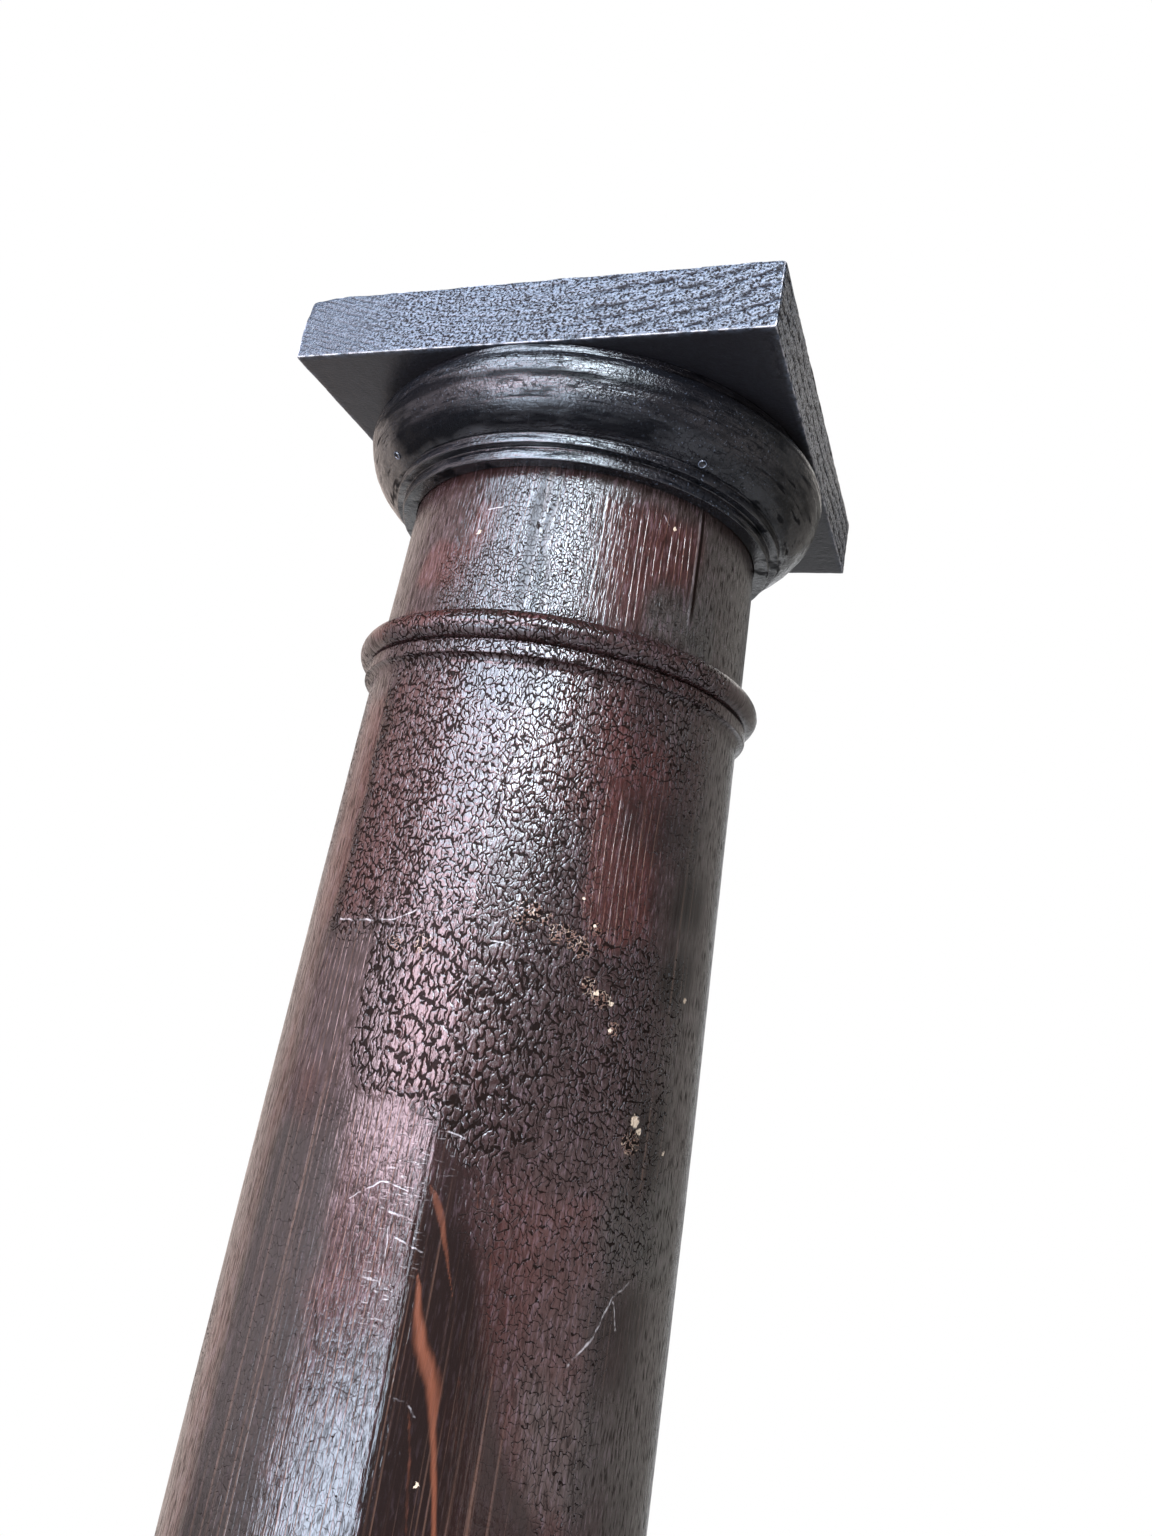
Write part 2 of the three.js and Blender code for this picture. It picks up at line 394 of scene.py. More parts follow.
def patched(theta, drop, patches):
    """The sum of patches over points in degrees round the axis and millimetres of drop."""
    total = np.zeros_like(theta + drop)
    for strength, left, right, top, foot, *softness in patches:
        soft, soft_drop = (*softness, *(4, 9)[len(softness):])
        total += strength * within(left, right, soft, theta) * within(top, foot, soft_drop, drop)
    return total


def drift(theta, drop, seed, coarse):
    """A smooth random field between about -1 and 1, with features of the given size in millimetres."""
    rng = np.random.default_rng(seed)
    arc_mm = np.radians(theta) * 90
    total = np.zeros_like(arc_mm)
    for _ in range(7):
        direction = rng.uniform(0, pi)
        pitch = 2 * pi / (coarse * rng.uniform(0.7, 2.2))
        along = arc_mm * cos(direction) + 0.6 * drop * sin(direction)
        total += np.sin(pitch * along + rng.uniform(0, 2 * pi))
    return total / 4


def tongue(theta, drop):
    """The smooth dark tongue below the crazed varnish, sharp along the joint on its left."""
    drops = (296, 325, 350, 380, 410, 430, 520, 700)
    right = np.interp(drop, drops, (-74, -67, -61, -55, -47, -38, -36, -45))
    across = rise(-76.4, -75.4, theta) * (1 - rise(right - 3, right + 3, theta))
    return across * rise(312, 345, drop) * (1 - rise(560, 640, drop))


def coarse_zone(theta, drop):
    """Where the varnish has split into coarse, upright cells, with a sharp slanting edge on its left."""
    left = -105 + (drop - 240) * 0.08
    foot = np.interp(theta, (-104, -98, -88, -75, -64, -48), (285, 297, 303, 306, 322, 300))
    side = rise(left - 0.7, left + 0.7, theta) * (1 - rise(-56, -44, theta))
    return side * rise(222, 246, drop) * (1 - rise(foot - 5, foot + 5, drop))


# Patches of the finish on the staves and on the capital ring. Each is how strong it is, its left and right
# edge in degrees round the axis, its top and foot as drops in millimetres, and how soft its sides are in
# degrees and its ends in millimetres, where they aren't 4 and 9.
STAVE_PATCHES = {
    "craze": (
        (1, -121, -91, 133, 246, 2), (0.6, -91, -64, 133, 238), (0.8, -64, -50, 134, 225),
        (0.7, -50, -24, 132, 166), (0.15, -50, -30, 166, 232), (0.8, -66, -28, 228, 300),
        (0.45, -66, -28, 300, 350), (0.3, -30, -14, 132, 200), (0.5, -30, -14, 236, 350),
        (0.3, -58, -26, 350, 450), (0.35, -46, -22, 86, 110), (0.55, -110, -64, 80, 112),
        (0.42, -96, -64, 44, 80), (0.12, -118, -76, 300, 460), (0.7, -124, -18, 110, 134, 4, 3),
    ),
    "ribs": (
        (0.95, -63, -48, 58, 106), (0.95, -48, -31, 55, 82), (0.35, -66, -50, 160, 190),
        (1, -50, -34, 176, 230), (0.45, -34, -30, 160, 200, 2), (0.6, -114, -78, 304, 470),
        (0.55, -121, -103, 240, 300), (0.3, -97, -78, 45, 106), (0.25, -118, -104, 44, 80),
    ),
    "red": (
        (0.55, -124, -92, 136, 240), (0.5, -66, -46, 134, 190), (0.4, -92, -66, 150, 300),
        (0.5, -50, -31, 150, 234), (0.6, -49, -35, 194, 230, 4, 7), (1.1, -120, -104, 80, 97, 4, 6),
        (0.8, -103, -95, 60, 84, 4, 6), (0.35, -63, -31, 56, 86, 4, 6), (0.3, -63, -46, 84, 104),
        (0.8, -132, -98, 109, 117, 4, 2), (0.7, -82, -74, 112, 118, 4, 2), (0.75, -136, -122, 145, 240),
        (0.35, -136, -122, 240, 520), (0.3, -96, -76, 300, 376), (0.6, -118, -110, 296, 317),
        (0.35, -60, -34, 320, 440),
    ),
    # Dull patches are rougher; their olive colour is partly a painted reflection of the room
    "dull": (
        (0.7, -30, 8, 44, 110), (0.85, -46, -21, 86, 110), (0.75, -121, -99, 316, 520),
        (0.6, -32, 0, 320, 352), (0.55, -19, 12, 130, 520), (0.5, -46, -18, 386, 426),
        (0.4, -36, -20, 130, 150), (0.45, -70, -30, 42, 53, 4, 4),
    ),
    # Dark smudges, with painted shade where the neck's reflection splits and right of the joint at -76
    # degrees
    "dark": (
        (0.7, -28, -14, 283, 321), (0.6, -35, -12, 354, 372, 4, 6), (0.5, -33, -14, 372, 390),
        (0.95, -24, -7, 196, 222), (0.95, -25, -8, 230, 252), (0.5, -29, -12, 176, 192),
        (0.35, -117, -105, 244, 298), (0.6, -121.5, -117, 134, 250, 1), (0.2, -75.5, -66, 190, 300, 1),
        (0.7, -121, -99, 300, 520), (0.4, -75, -67, 300, 328, 2), (0.5, -45, -29, 172, 198, 3),
        (0.85, -84, -80, 40, 108, 1), (0.85, -78.7, -77, 40, 108, 0.7),
    ),
    "veil": (
        (1, -84, -79.5, 40, 112, 1), (0.8, -78, -76, 40, 112, 0.8), (0.5, -67, -64, 40, 112),
        (0.7, -78, -73, 132, 148, 1), (0.5, -76, -66, 190, 300, 1.5), (0.1, -121, -97, 300, 520),
        (0.4, -60, -20, 130, 300), (0.3, -50, -20, 300, 520),
    ),
    "arris": ((1, -85, -76, 316, 374, 2), (0.6, -80, -71, 296, 318, 2)),
}
RING_PATCHES = {
    "craze": ((1, -78, -25, 12, 46), (0.9, -118, -60, 4, 27)),
    # Worn patches turn olive, which is partly a painted reflection of the room
    "worn": ((0.7, -40, 30, 4, 34, 12), (0.6, -150, -122, 4, 34, 8)),
    # Painted shade on the ovolo: its far sides, its foot, and a band between two rows of reflection
    "painted_shade": (
        (0.6, -130, -104, 8, 34, 6), (0.45, -60, 12, 4, 36, 8),
        (0.8, -130, -55, 27, 33.5, 8, 2), (0.95, -135, -50, 15.5, 18.5, 8, 1.5),
    ),
}

# Spots where the varnish has blistered: degrees, drop and size in millimetres
BLISTERS = (
    (-64, 227, 3.4), (-60, 229, 2.2), (-56, 233, 3.2), (-52, 235, 3.0), (-49.5, 238, 2.6),
    (-47, 229, 2.0), (-45, 250, 2.6), (-42, 254, 2.6), (-39, 264, 2.4), (-28, 303, 3.6),
    (-66, 231, 2.2), (-89, 245, 3.2), (-96, 247, 2.6),
)


def worn_finish(theta, drop):
    """The painted masks of the staves, by name, for points at theta degrees and drop millimetres."""
    t = theta + 1.6 * drift(theta, drop, 3, 18)
    d = drop + 4 * drift(theta, drop, 4, 24)
    cloud = 0.5 + 0.5 * drift(theta, drop, 5, 70)
    spots = rise(0.6, 1.0, 0.5 + 0.5 * drift(theta, drop, 9, 45))
    hidden = np.clip(rise(6, 30, theta) + rise(2, 14, -128 - theta) + rise(450, 500, drop), 0, 1)
    masks = {name: patched(t, d, patches) for name, patches in STAVE_PATCHES.items()}
    masks["coarse"] = coarse_zone(t, d)
    masks["craze"] *= (1 - 0.85 * masks["coarse"]) * (1 - 0.8 * tongue(t, d))
    masks["craze"] += 0.7 * hidden * rise(0.5, 0.9, cloud)
    masks["ribs"] += 0.3 * hidden * rise(0.4, 0.7, 1 - cloud)
    masks["red"] += 0.2 + 0.3 * (cloud - 0.5)
    masks["dull"] += 0.35 * hidden * cloud
    masks["dark"] += 0.85 * tongue(theta + 0.45 * drift(theta, drop, 31, 7), d) + 0.22 * hidden * spots
    masks["blister"] = np.zeros_like(t)
    for angle, fall, size in BLISTERS:
        away = np.hypot(np.radians(t - angle) * 88, drop - fall) / (1.25 * size)
        masks["blister"] = np.maximum(masks["blister"], 1 - rise(0.5, 1.2, away))
    return {name: np.clip(values, 0, 1) for name, values in masks.items()}


# The streaks of bare wood: how bare, then points down each with the drop in millimetres, the middle in
# degrees and the half width in millimetres
STREAKS = (
    (0.45, (326, -75, 0.1), (330, -73.2, 1.9), (335, -71.5, 1.9), (342, -69.8, 1.3), (352, -67.5, 0.8),
     (364, -64.7, 0.1)),
    (1, (354, -74, 0.1), (359, -73, 1.4), (368, -72, 2.1), (377, -70, 3.4), (384, -67.5, 4.4),
     (390, -66, 3.2)),
    (0.9, (390, -66, 3.2), (398, -65, 2.0), (410, -63.3, 1.4), (430, -60.7, 1.2), (470, -56.5, 1.6),
     (560, -53, 0.1)),
    (0.2, (390, -71.5, 0.1), (400, -69.6, 0.7), (412, -68, 0.6), (424, -67, 0.8), (445, -64.8, 0.1)),
    (0.12, (304, -67.5, 0.1), (325, -64.2, 0.5), (342, -62.5, 0.4), (362, -60, 0.1)),
    (0.12, (300, -63.5, 0.1), (328, -60.5, 0.5), (350, -58.5, 0.5), (372, -56.5, 0.4), (405, -54, 0.1)),
    (0.12, (366, -63, 0.1), (385, -61, 0.5), (400, -60, 0.5), (424, -57, 0.1)),
)


def streak_field(theta, drop):
    """How bare the wood is: 1 in the middle of a full streak, 0 at its edge and below 0 outside."""
    best = np.full_like(theta, -1.0)
    for bare, *line in STREAKS:
        drops, middles, halves = np.array(line, float).T
        away = np.abs(theta - np.interp(drop, drops, middles)) * radians(1) * 92
        half = np.interp(drop, drops, halves)
        inside = (drop > drops[0]) & (drop < drops[-1])
        best = np.maximum(best, np.where(inside, np.clip(1 - away / half, -1, bare), -1))
    return best


def stave_piece(index, sizes):
    """One stave: turned outside, flat inside, closed at both ends."""
    turns_back = STAVE_COUNT if index > STAVE_COUNT / 2 else 0
    start = FIRST_SEAM + (index - turns_back) * STAVE_ANGLE
    middle = start + STAVE_ANGLE / 2
    near = abs((middle - VIEWED_FROM + pi) % (2 * pi) - pi) < radians(62)
    fine = 0.78 * MM if near else 2.4 * MM

    def step_at(drop):
        if drop < SEEN_TOP:
            return 10 * MM
        if drop < CRAZED_FOOT:
            return fine
        return fine * 1.4 if drop < SEEN_FOOT else 6 * MM

    outline = stave_outline(step_at)
    share = np.linspace(0, 1, 96 if near else 28)
    share = share + 0.012 * np.sin(4 * pi * share) / 2
    angle = start + STAVE_ANGLE * share
    drops, radii = outline[:, :1], outline[:, 1:]
    edge = np.abs(2 * share - 1)
    clear = rise(RING_HEIGHT, RING_HEIGHT + 16 * MM, drops)
    clear = clear * (1 - rise(FOOT_DROP - 80 * MM, FOOT_DROP - 60 * MM, drops))
    lower = rise(170 * MM, 320 * MM, drops)
    cup = sizes.cupping * clear * (0.4 + 0.6 * lower) * (0.75 * edge**2 + 0.25 * edge**6)
    radius = radii + cup - 0.16 * MM * rise(0.985, 1.0, edge)
    height = UNDER_BOARD - drops
    outer = np.stack([radius * np.cos(angle), radius * np.sin(angle), height + 0 * radius], axis=-1)
    flat = INNER_FLAT_TOP + (INNER_FLAT_FOOT - INNER_FLAT_TOP) * drops[:, 0] / FOOT_DROP
    inner = []
    for side in (1, -1):
        half = side * flat * np.tan(STAVE_ANGLE / 2)
        x = flat * cos(middle) - half * sin(middle)
        y = flat * sin(middle) + half * cos(middle)
        inner.append(np.stack([x, y, height[:, 0]], axis=-1))
    grid = np.concatenate([outer, np.stack(inner, axis=1)], axis=1)
    rows, width = grid.shape[:2]
    faces = quads(rows, width)
    faces.append(list(range(width)))
    faces.append(list(range((rows - 1) * width, rows * width))[::-1])

    around = np.concatenate([angle, [angle[-1], angle[0]]])
    run = runs(outline)[:, None] + 0 * around
    skin = np.stack([around * SKIN_RADIUS + 0 * run, run, 0 * run + index * 0.37], axis=-1)
    piece = mesh_piece(f"shaft_stave_{index + 1}", grid.reshape(-1, 3), faces, skin.reshape(-1, 3))
    theta = np.degrees(around) + 0 * run
    drop_mm = drops / MM + 0 * around
    for name, values in worn_finish(theta, drop_mm).items():
        paint(piece, name, values)
    paint(piece, "streak", streak_field(theta, drop_mm))
    outside = np.concatenate([rise(0, 0.03, 1 - edge), [0, 0]])[None, :]
    close = (drop_mm < CRAZED_FOOT / MM) & (drop_mm > SEEN_TOP / MM) & near
    paint(piece, "carved", outside * close)
    paint(piece, "surface", outside * (drop_mm < SEEN_FOOT / MM))
    return piece


def board_piece(name, low, high, step, easing):
    """A board meshed evenly over its faces, with its edges rounded by what easing gives at each point."""
    size = high - low
    counts = [max(2, int(round(s / step))) for s in size]
    counts[2] = max(counts[2], 24)
    index = {}
    points = []
    faces = []

    def corner(*key):
        if key not in index:
            index[key] = len(points)
            points.append([low[a] + size[a] * key[a] / counts[a] for a in range(3)])
        return index[key]

    for axis in range(3):
        u, v = (a for a in range(3) if a != axis)
        for end, i, j in product((0, counts[axis]), range(counts[u]), range(counts[v])):
            face = []
            for du, dv in ((0, 0), (1, 0), (1, 1), (0, 1)):
                key = {axis: end, u: i + du, v: j + dv}
                face.append(corner(key[0], key[1], key[2]))
            outwards = (end > 0) == (axis != 1)
            faces.append(face if outwards else face[::-1])
    points = np.array(points)
    centre, half = np.array((low + high) / 2), np.array(size) / 2
    local = points - centre
    radius = easing(local, half)[:, None]
    inner = np.clip(local, radius - half, half - radius)
    out = local - inner
    length = np.linalg.norm(out, axis=1, keepdims=True)
    rounded = inner + out * np.minimum(1, radius / np.maximum(length, 1e-9))
    return mesh_piece(name, centre + rounded, faces)


# Finishes. A relief function moves the mesh, and a finish function gives the varnish and its finer bumps.


class Skin:
    """The fields of the varnish on the staves, all laid on the unrolled surface."""

    def __init__(self, graph):
        self.graph = graph
        self.at = graph.painted("skin", vector=True)
        slow = self.at.shifted(graph.wander(self.at, 140, 3 * MM))
        warped = slow.shifted(graph.wander(self.at, 420, 1.5 * MM))
        in_neck = 1 - self.at.part(1).step(run_of(110), run_of(110.5))
        self.fine = graph.cells(warped.scaled(in_neck * 0.55 + 1).stretched(1.15, 0.7, 0), 400, 1.0)
        self.coarse = graph.cells(warped.stretched(1.2, 0.44, 0), 350, 1.0)

    def cracks(self):
        """How deep in a crack of the varnish a point is, from 0 to 1."""
        present = self.graph.noise(self.at.stretched(1, 0.7, 1), 430, 2, 0.6).step(0.34, 0.54)
        found = []
        kinds = ((self.fine, "craze", 0.2, 0.45), (self.coarse, "coarse", 0.17, 0.5))
        for cells, mask, wide, inside in kinds:
            width = (present * wide + 0.02) * self.graph.painted(mask)
            found.append(1 - (cells / width.at_least(0.001)).step(inside, 1))
        return joined(found)

    def pillows(self):
        """The islands between the cracks, each a little domed and tilted, from 0 to about 1."""
        craze, coarse = self.graph.painted("craze"), self.graph.painted("coarse")
        domed = self.fine.step(0, 0.26) * craze * 0.36 + self.coarse.step(0, 0.3) * coarse * 0.26
        return domed + self.graph.noise(self.at, 300, 1) * craze.at_least(coarse) * 0.75

    def ribs(self):
        """The hard lines of the grain, from 0 to 1, where the soft wood between them has sunk."""
        wobble = self.graph.grain(self.at, 45, 6, 9)
        phase = (self.at.part(0) / (3.3 * MM) + wobble * 3.2).fraction()
        broken = self.graph.grain(self.at, 260, 40, 5).step(0.32, 0.56)
        return abs(phase * 2 - 1).step(0.84, 0.98) * (broken * 0.75 + 0.25)

    def streaks(self):
        """Long upright hollows and ridges left by the grain."""
        return self.graph.grain(self.at, 330, 8, 12, 3, 0.55)

    def dashes(self):
        """Short upright dashes of the grain."""
        return self.graph.grain(self.at, 1000, 160, 31, 2, 0.6)


def dents(graph):
    """Slow unevenness of hand finished wood."""
    return graph.noise(graph.place(), 34, 2) - 0.5


def stave_relief(graph):
    skin = Skin(graph)
    ribs = skin.ribs() * graph.painted("ribs")
    blister = graph.painted("blister") * graph.noise(skin.at, 420, 1)
    close = (skin.pillows() * 0.13 + ribs * 0.13 + blister * 0.6) * graph.painted("carved")
    return (close + dents(graph) * graph.painted("surface") * 0.3) * MM


# Dull dark colours for painted shade and dirt in cracks, pores and pits, and for the capital ring's painted
# shade
DIRT_AND_SHADE = (0.004, 0.0025, 0.002, 1)
RING_DIRT_AND_SHADE = (0.0013, 0.0014, 0.0018, 1)


def emptied(owner):
    """The node tree of a material or a world, with nothing in it."""
    owner.use_nodes = True
    owner.node_tree.nodes.clear()
    return Graph(owner.node_tree)


def finish_material(name, build, colours, sheen, shine, dirt=DIRT_AND_SHADE):
    """A varnish whose colour, roughness, height and patches of painted shade and dirt are laid by a
    function.

    sheen is how rough it is where it is glossiest, and shine is how strongly it reflects.
    """
    material = bpy.data.materials.new(name)
    graph = emptied(material)
    colour, rough, height, shade_and_dirt = build(graph, colours, sheen)
    normal = graph.node("ShaderNodeBump", {}, {"Strength": 1.0, "Distance": 1.0, "Height": height})
    values = {"Base Color": colour, "Roughness": rough, "Normal": normal, "Specular IOR Level": shine}
    varnish = graph.node("ShaderNodeBsdfPrincipled", {}, values)
    # A dull dark shader for painted shade and dirt
    values = {"Base Color": dirt, "Roughness": 1.0, "Specular IOR Level": 0.0}
    dull = graph.node("ShaderNodeBsdfPrincipled", {}, values)
    shader = graph.node("ShaderNodeMixShader", {}, {0: shade_and_dirt, 1: varnish, 2: dull})
    graph.finish("ShaderNodeOutputMaterial", shader)
    return material


def dress(piece, material, slot, *nodes):
    piece.data.materials.clear()
    piece.data.materials.append(material)
    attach(piece, "root")
    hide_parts(*nodes)


def run_of(drop):
    """The run down the stave's outline at a drop in millimetres."""
    return float(np.interp(drop * MM, *DROP_TO_RUN))


def spot(skin, angle, drop):
    """How far along the girth and down a point is from a place in degrees and millimetres of drop."""
    return skin.part(0) - radians(angle) * SKIN_RADIUS, skin.part(1) - run_of(drop)


def scratch(skin, wobble, start, end, half):
    """A straight piece of a scratch between two places, from 0 to 1. half is half its width."""
    half = half * MM
    (x0, y0), (x1, y1) = ((radians(angle) * SKIN_RADIUS, run_of(drop)) for angle, drop in (start, end))
    along = Vector((x1 - x0, y1 - y0))
    length = along.length
    along.normalize()
    x, y = spot(skin, *start)
    off = abs(y * along.x - x * along.y + wobble)
    on = x * along.x + y * along.y
    inside = on.step(-half, half) * (1 - on.step(length - half, length + half))
    return (1 - off.step(half * 0.1, half)) * inside


def chip(skin, rough, angle, drop, size):
    """A small irregular chip, from 0 to 1."""
    x, y = spot(skin, angle, drop)
    away = skin.graph.maths("SQRT", x * x + y * y) + rough
    return 1 - away.step(size * MM * 0.7, size * MM)


def joined(wires):
    """The greatest of several wires."""
    first, *others = wires
    for wire in others:
        first = first.at_least(wire)
    return first


# Scratches as (degrees, drop) from and to, and half their width; chips as degrees, drop and size. The
# drops, widths and sizes are in millimetres.
SCRATCHES = (
    ((-117, 240), (-104, 239.6), 0.51), ((-104, 239.6), (-97, 237.6), 0.51),
    ((-97, 237.6), (-90, 232), 0.45), ((-74, 240), (-67, 240.6), 0.45),
    ((-21.5, 352), (-27, 357), 0.63), ((-27, 357), (-31.5, 369), 0.57),
    ((-31.5, 369), (-37, 379), 0.63), ((-26.6, 358), (-24.2, 368), 0.51),
    ((-93, 337), (-85.5, 329), 0.34), ((-85.5, 329), (-79, 330.5), 0.32),
    ((-83, 338), (-77, 339.5), 0.4), ((-80, 346.5), (-73.5, 348.5), 0.42),
    ((-81.8, 343), (-81.2, 362), 0.3), ((-74.5, 394.5), (-71, 395), 0.51),
    ((-71, 395), (-68.5, 399), 0.45), ((-73, 308.5), (-69, 309.5), 0.51),
    ((-98, 63.6), (-93, 62.6), 0.42), ((-45, 54), (-43, 57.6), 0.48),
)
CHIPS = (
    (-51, 218.5, 0.6), (-47, 228, 0.6), (-44, 252, 1.2), (-39.7, 255, 1.3), (-39, 264.5, 1.0),
    (-27.5, 295.5, 2.6), (-25.5, 299, 1.6), (-13.6, 306.5, 1.2), (-12, 247.5, 1.3), (-41, 58.4, 1.0),
    (-99.3, 74, 1.0), (-65.8, 418.5, 0.8),
)
OPEN_SEAM = (-31, 44)


def seam_line(skin):
    """The open glue line in the neck, from 0 to 1, and the pale edge on its left."""
    x = spot(skin, *OPEN_SEAM)[0] / MM
    down = skin.part(1)
    open_part = down.step(run_of(42), run_of(48)) * (1 - down.step(run_of(88), run_of(104)))
    gap = (1 - abs(x).step(0.6, 1.2)) * open_part
    edge = (1 - abs(x + 1.9).step(0.2, 0.8)) * open_part
    return gap, edge


def stave_finish(graph, colours, sheen):
    """Dark red brown varnish, crazed, scratched and chipped, with bare streaks, an open glue line, painted
    shade and glints.
    """
    mask = graph.painted
    skin = Skin(graph)
    crack, streaks, dashes = skin.cracks(), skin.streaks(), skin.dashes()
    ribs = skin.ribs() * mask("ribs")
    dark = mask("dark")
    cloud = graph.noise(graph.place(), 60, 4, 0.6)
    ragged = (graph.noise(skin.at, 850, 2) - 0.5) * (3 * MM)
    wobble = (graph.noise(skin.at, 170, 2) - 0.5) * (2.4 * MM) + ragged * 0.1
    chips = joined(chip(skin.at, ragged, *place) for place in CHIPS)
    faint = graph.noise(skin.at, 330, 2).step(0.3, 0.6)
    scratches = joined(scratch(skin.at, wobble, *line) for line in SCRATCHES) * faint
    gap, gap_edge = seam_line(skin.at)
    threads = graph.grain(skin.at, 620, 5, 7, 3, 0.6).step(0.52, 0.7)
    burst = mask("blister").step(0, 0.4)
    swelling = graph.noise(skin.at, 560, 1)
    blister = swelling.step(0.49, 0.56) * burst
    rims = swelling.step(0.4, 0.46) * (1 - swelling.step(0.47, 0.53)) * burst
    bare = (mask("streak") + (graph.grain(skin.at, 420, 90, 420) - 0.5) * 0.8).step(-0.1, 0.85)
    flecks = graph.grain(skin.at, 210, 950, 3, 2, 0.6).step(0.6, 0.7) * mask("arris")

    colour = graph.layered(
        colours.brown,
        ((mask("red") * (cloud * 1.1 + 0.45) * (streaks * 1.1 + 0.4)).step(0.12, 0.9), colours.red),
        # Olive where dull: partly a painted reflection of the room
        (mask("dull") * (cloud * 0.8 + 0.4), colours.olive_and_reflection),
        (ribs * (dashes * 0.9 + 0.25) * (1 - mask("dull")), colours.rib),
        # Black for dark smudges and for the painted shade bands in the neck
        (dark * 0.8, colours.black),
        (threads * dark * 0.32, colours.rib),
        (rims * 0.7, colours.rib),
        (rims * graph.noise(skin.at, 330, 1).step(0.52, 0.66) * 0.45, colours.bare),
        # Pale dashes on the grain's high spots: wear with painted glints
        (dashes.step(0.54, 0.68) * (1 - dark * 0.85) * 0.32, colours.wear),
        (bare * (streaks * 1.1 + 0.4).at_most(1), colours.streak),
        (chips * 0.8, colours.bare),
        (joined((scratches, gap_edge * 0.3, flecks * 0.8)) * 0.32, colours.scratch),
    )

    split = mask("craze").at_least(mask("coarse"))
    pores = (1 - dashes.step(0.35, 0.5)) * (1 - dark * 0.8) * (1 - split * 0.55) * (mask("dull") * 0.4 + 1)
    tone = graph.grain(skin.at, 26, 15, 3, 3, 0.55).step(0.45, 0.7)
    # Where the dull dark shader goes: painted shade and dirt in cracks, pores, blisters and dark patches
    hidden = joined((crack * 0.95, pores * 0.6, blister * 0.95, dark * (0.42 - threads * 0.3), tone * 0.2))
    shade_and_dirt = (hidden * (1 - joined((chips, scratches, bare * 0.6, rims * 0.8)))).at_least(gap)
    rough = sheen + cloud * 0.1 + mask("dull") * 0.15 + mask("veil") * 0.2 + chips * 0.3
    rough = (rough - dark * 0.1 + bare * 0.15).at_least(0.12)
    grit = graph.noise(skin.at.stretched(1, 0.6, 1), 1100, 2, 0.6) * split
    height = skin.pillows() * 0.3 + grit * 0.09 - crack * 0.25 + ribs * 0.1 + streaks * 0.24
    height = height + dashes * (1 - dark * 0.6) * 0.26 - chips * 0.3 - scratches * 0.05 - blister * 0.15
    return colour, rough, height * MM, shade_and_dirt


def ring_relief(graph):
    place = graph.place()
    lumps = graph.grain(place, 30, 30, 95, 3, 0.55) - 0.5
    gouges = graph.grain(place, 45, 45, 330, 2, 0.6) - 0.5
    return (lumps * 1.7 + gouges * 0.7) * graph.painted("surface") * MM


def ring_finish(graph, colours, sheen):
    """Near black varnish with tool marks and fine cracks, painted shade and glints, and painted highlights
    on plug lips.
    """
    place, mask = graph.place(), graph.painted
    cloud = graph.noise(place, 48, 4, 0.6)
    speckle = graph.noise(place, 740, 3, 0.65)
    cells = graph.cells(place.shifted(graph.wander(place, 300, 0.8 * MM)), 460, 0.95, "3D")
    craze = mask("craze")
    crack = (1 - cells.step(0.02, 0.13)) * craze * graph.noise(place, 380, 1).step(0.4, 0.55)
    tooled = graph.grain(place, 50, 50, 640, 3, 0.6)
    worn = mask("worn") * speckle.step(0.35, 0.7)
    colour = graph.layered(
        colours.ring,
        (cloud.step(0.58, 0.85) * 0.2, colours.brown),
        # Olive where worn: partly a painted reflection
        (worn * 0.5, colours.olive_and_reflection),
        # Pale blue specks: painted glints, most over the fine cracks
        (graph.noise(place, 950, 2).step(0.62, 0.78) * (craze * 0.5 + 0.08), colours.edge),
        # Pale lips of the nail plugs: a painted highlight
        (mask("lip") * 0.4, colours.edge),
    )
    height = (speckle - 0.5) * (craze * 0.14 + 0.2) + (tooled - 0.5) * 0.42 + cloud * 0.5
    brushed = graph.grain(place, 38, 38, 190, 3, 0.65).step(0.36, 0.56)
    # Painted shade over parts of the ovolo, with dullness along the brush marks
    shade_and_brushing = (mask("painted_shade") * 0.85 + (1 - brushed) * 0.32).at_most(0.9)
    shade_and_dirt = joined((crack * 0.8, (1 - tooled.step(0.34, 0.46)) * 0.85, shade_and_brushing * (1 - mask("lip"))))
    return colour, sheen + cloud * 0.06 + worn * 0.2, height * MM, shade_and_dirt


def board_rings(graph, spacing):
    """The growth rings across a board, sagging in its middle: 1 on a dark line and 0 between them."""
    place = graph.place()
    x = place.part(0)
    y = place.part(1) + 104 * MM
    z = place.part(2) - (UNDER_BOARD + 290 * MM) + graph.grain(place, 9, 22, 22) * (9 * MM)
    ring = graph.maths("SQRT", x * x + y * y * 0.04 + z * z)
    phase = (ring / spacing + graph.grain(place, 50, 110, 150) * 0.9).fraction()
    broken = graph.noise(place.stretched(0.7, 1, 1.2), 300, 2, 0.6).step(0.34, 0.56)
    return abs(phase * 2 - 1).step(0.5, 0.92) * broken


def board_relief(graph):
    lumps = graph.noise(graph.place(), 90, 3) - 0.5
    sunk = board_rings(graph, 6.4 * MM)
    return (lumps * 0.5 - sunk * 0.2 - 0.25) * (graph.painted("weather_and_sheen") * 0.8 + 0.2) * MM


